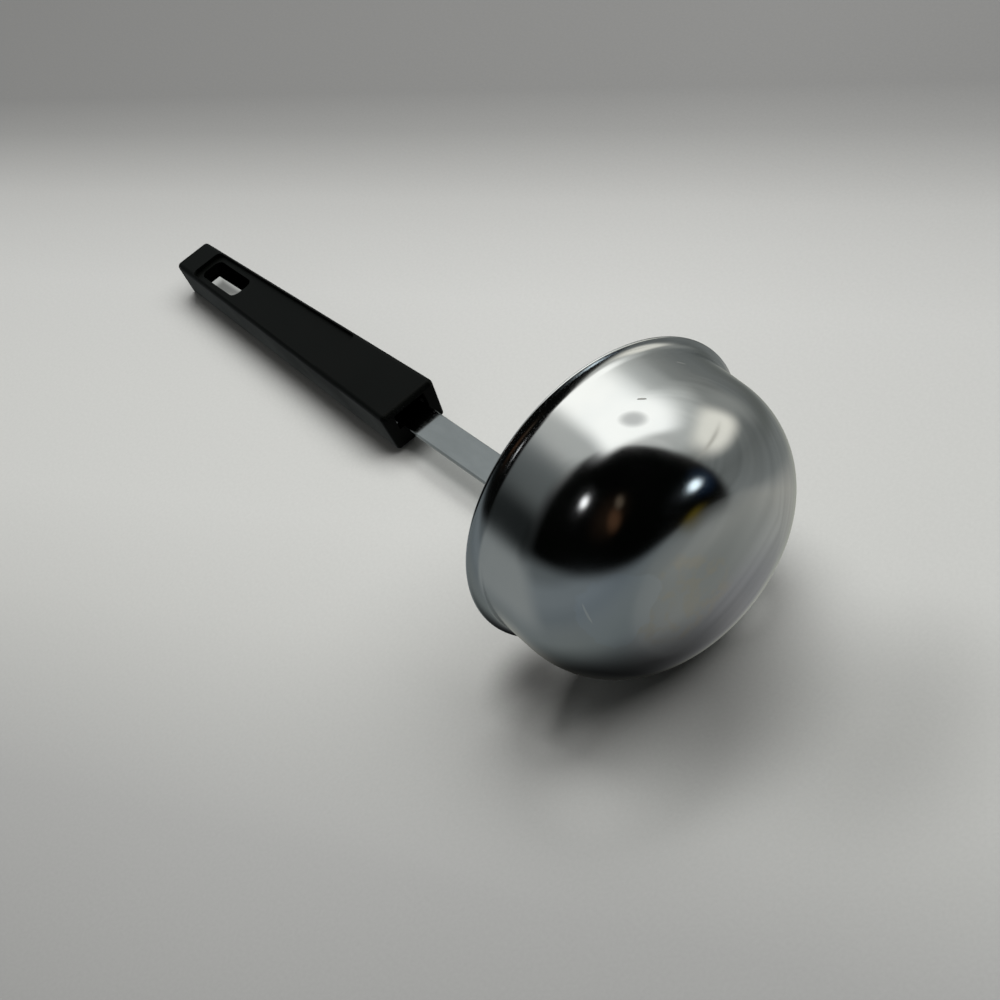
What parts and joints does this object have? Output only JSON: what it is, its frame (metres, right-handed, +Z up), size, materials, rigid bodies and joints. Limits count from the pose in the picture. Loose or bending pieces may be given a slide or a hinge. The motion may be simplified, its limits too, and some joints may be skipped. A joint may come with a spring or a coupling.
{
  "type": "ladle",
  "caption": "Soup ladle lying on its side: deep round metal bowl with a flared lip, flat strap neck and a hollow tapered grip with a thumb recess and a hanging hole.",
  "frame": {"origin": "middle of the ladle's bounding box on the surface that it lies on", "axes": "+X along the handle from the bowl to the tip of the grip, +Z up from the surface that the ladle lies on, with the bowl's mouth facing +X"},
  "size_m": [0.3222, 0.09, 0.0895],
  "materials": {
    "bowl_steel": "bright polished stainless steel, fine turned lines near the lip",
    "strap_steel": "satin rolled stainless steel strip",
    "grip_plastic": "black moulded plastic, faintly satin"
  },
  "bodies": {
    "root": {"bowl": "bowl_steel", "strap": "strap_steel", "grip": "grip_plastic"}
  },
  "joints": []
}
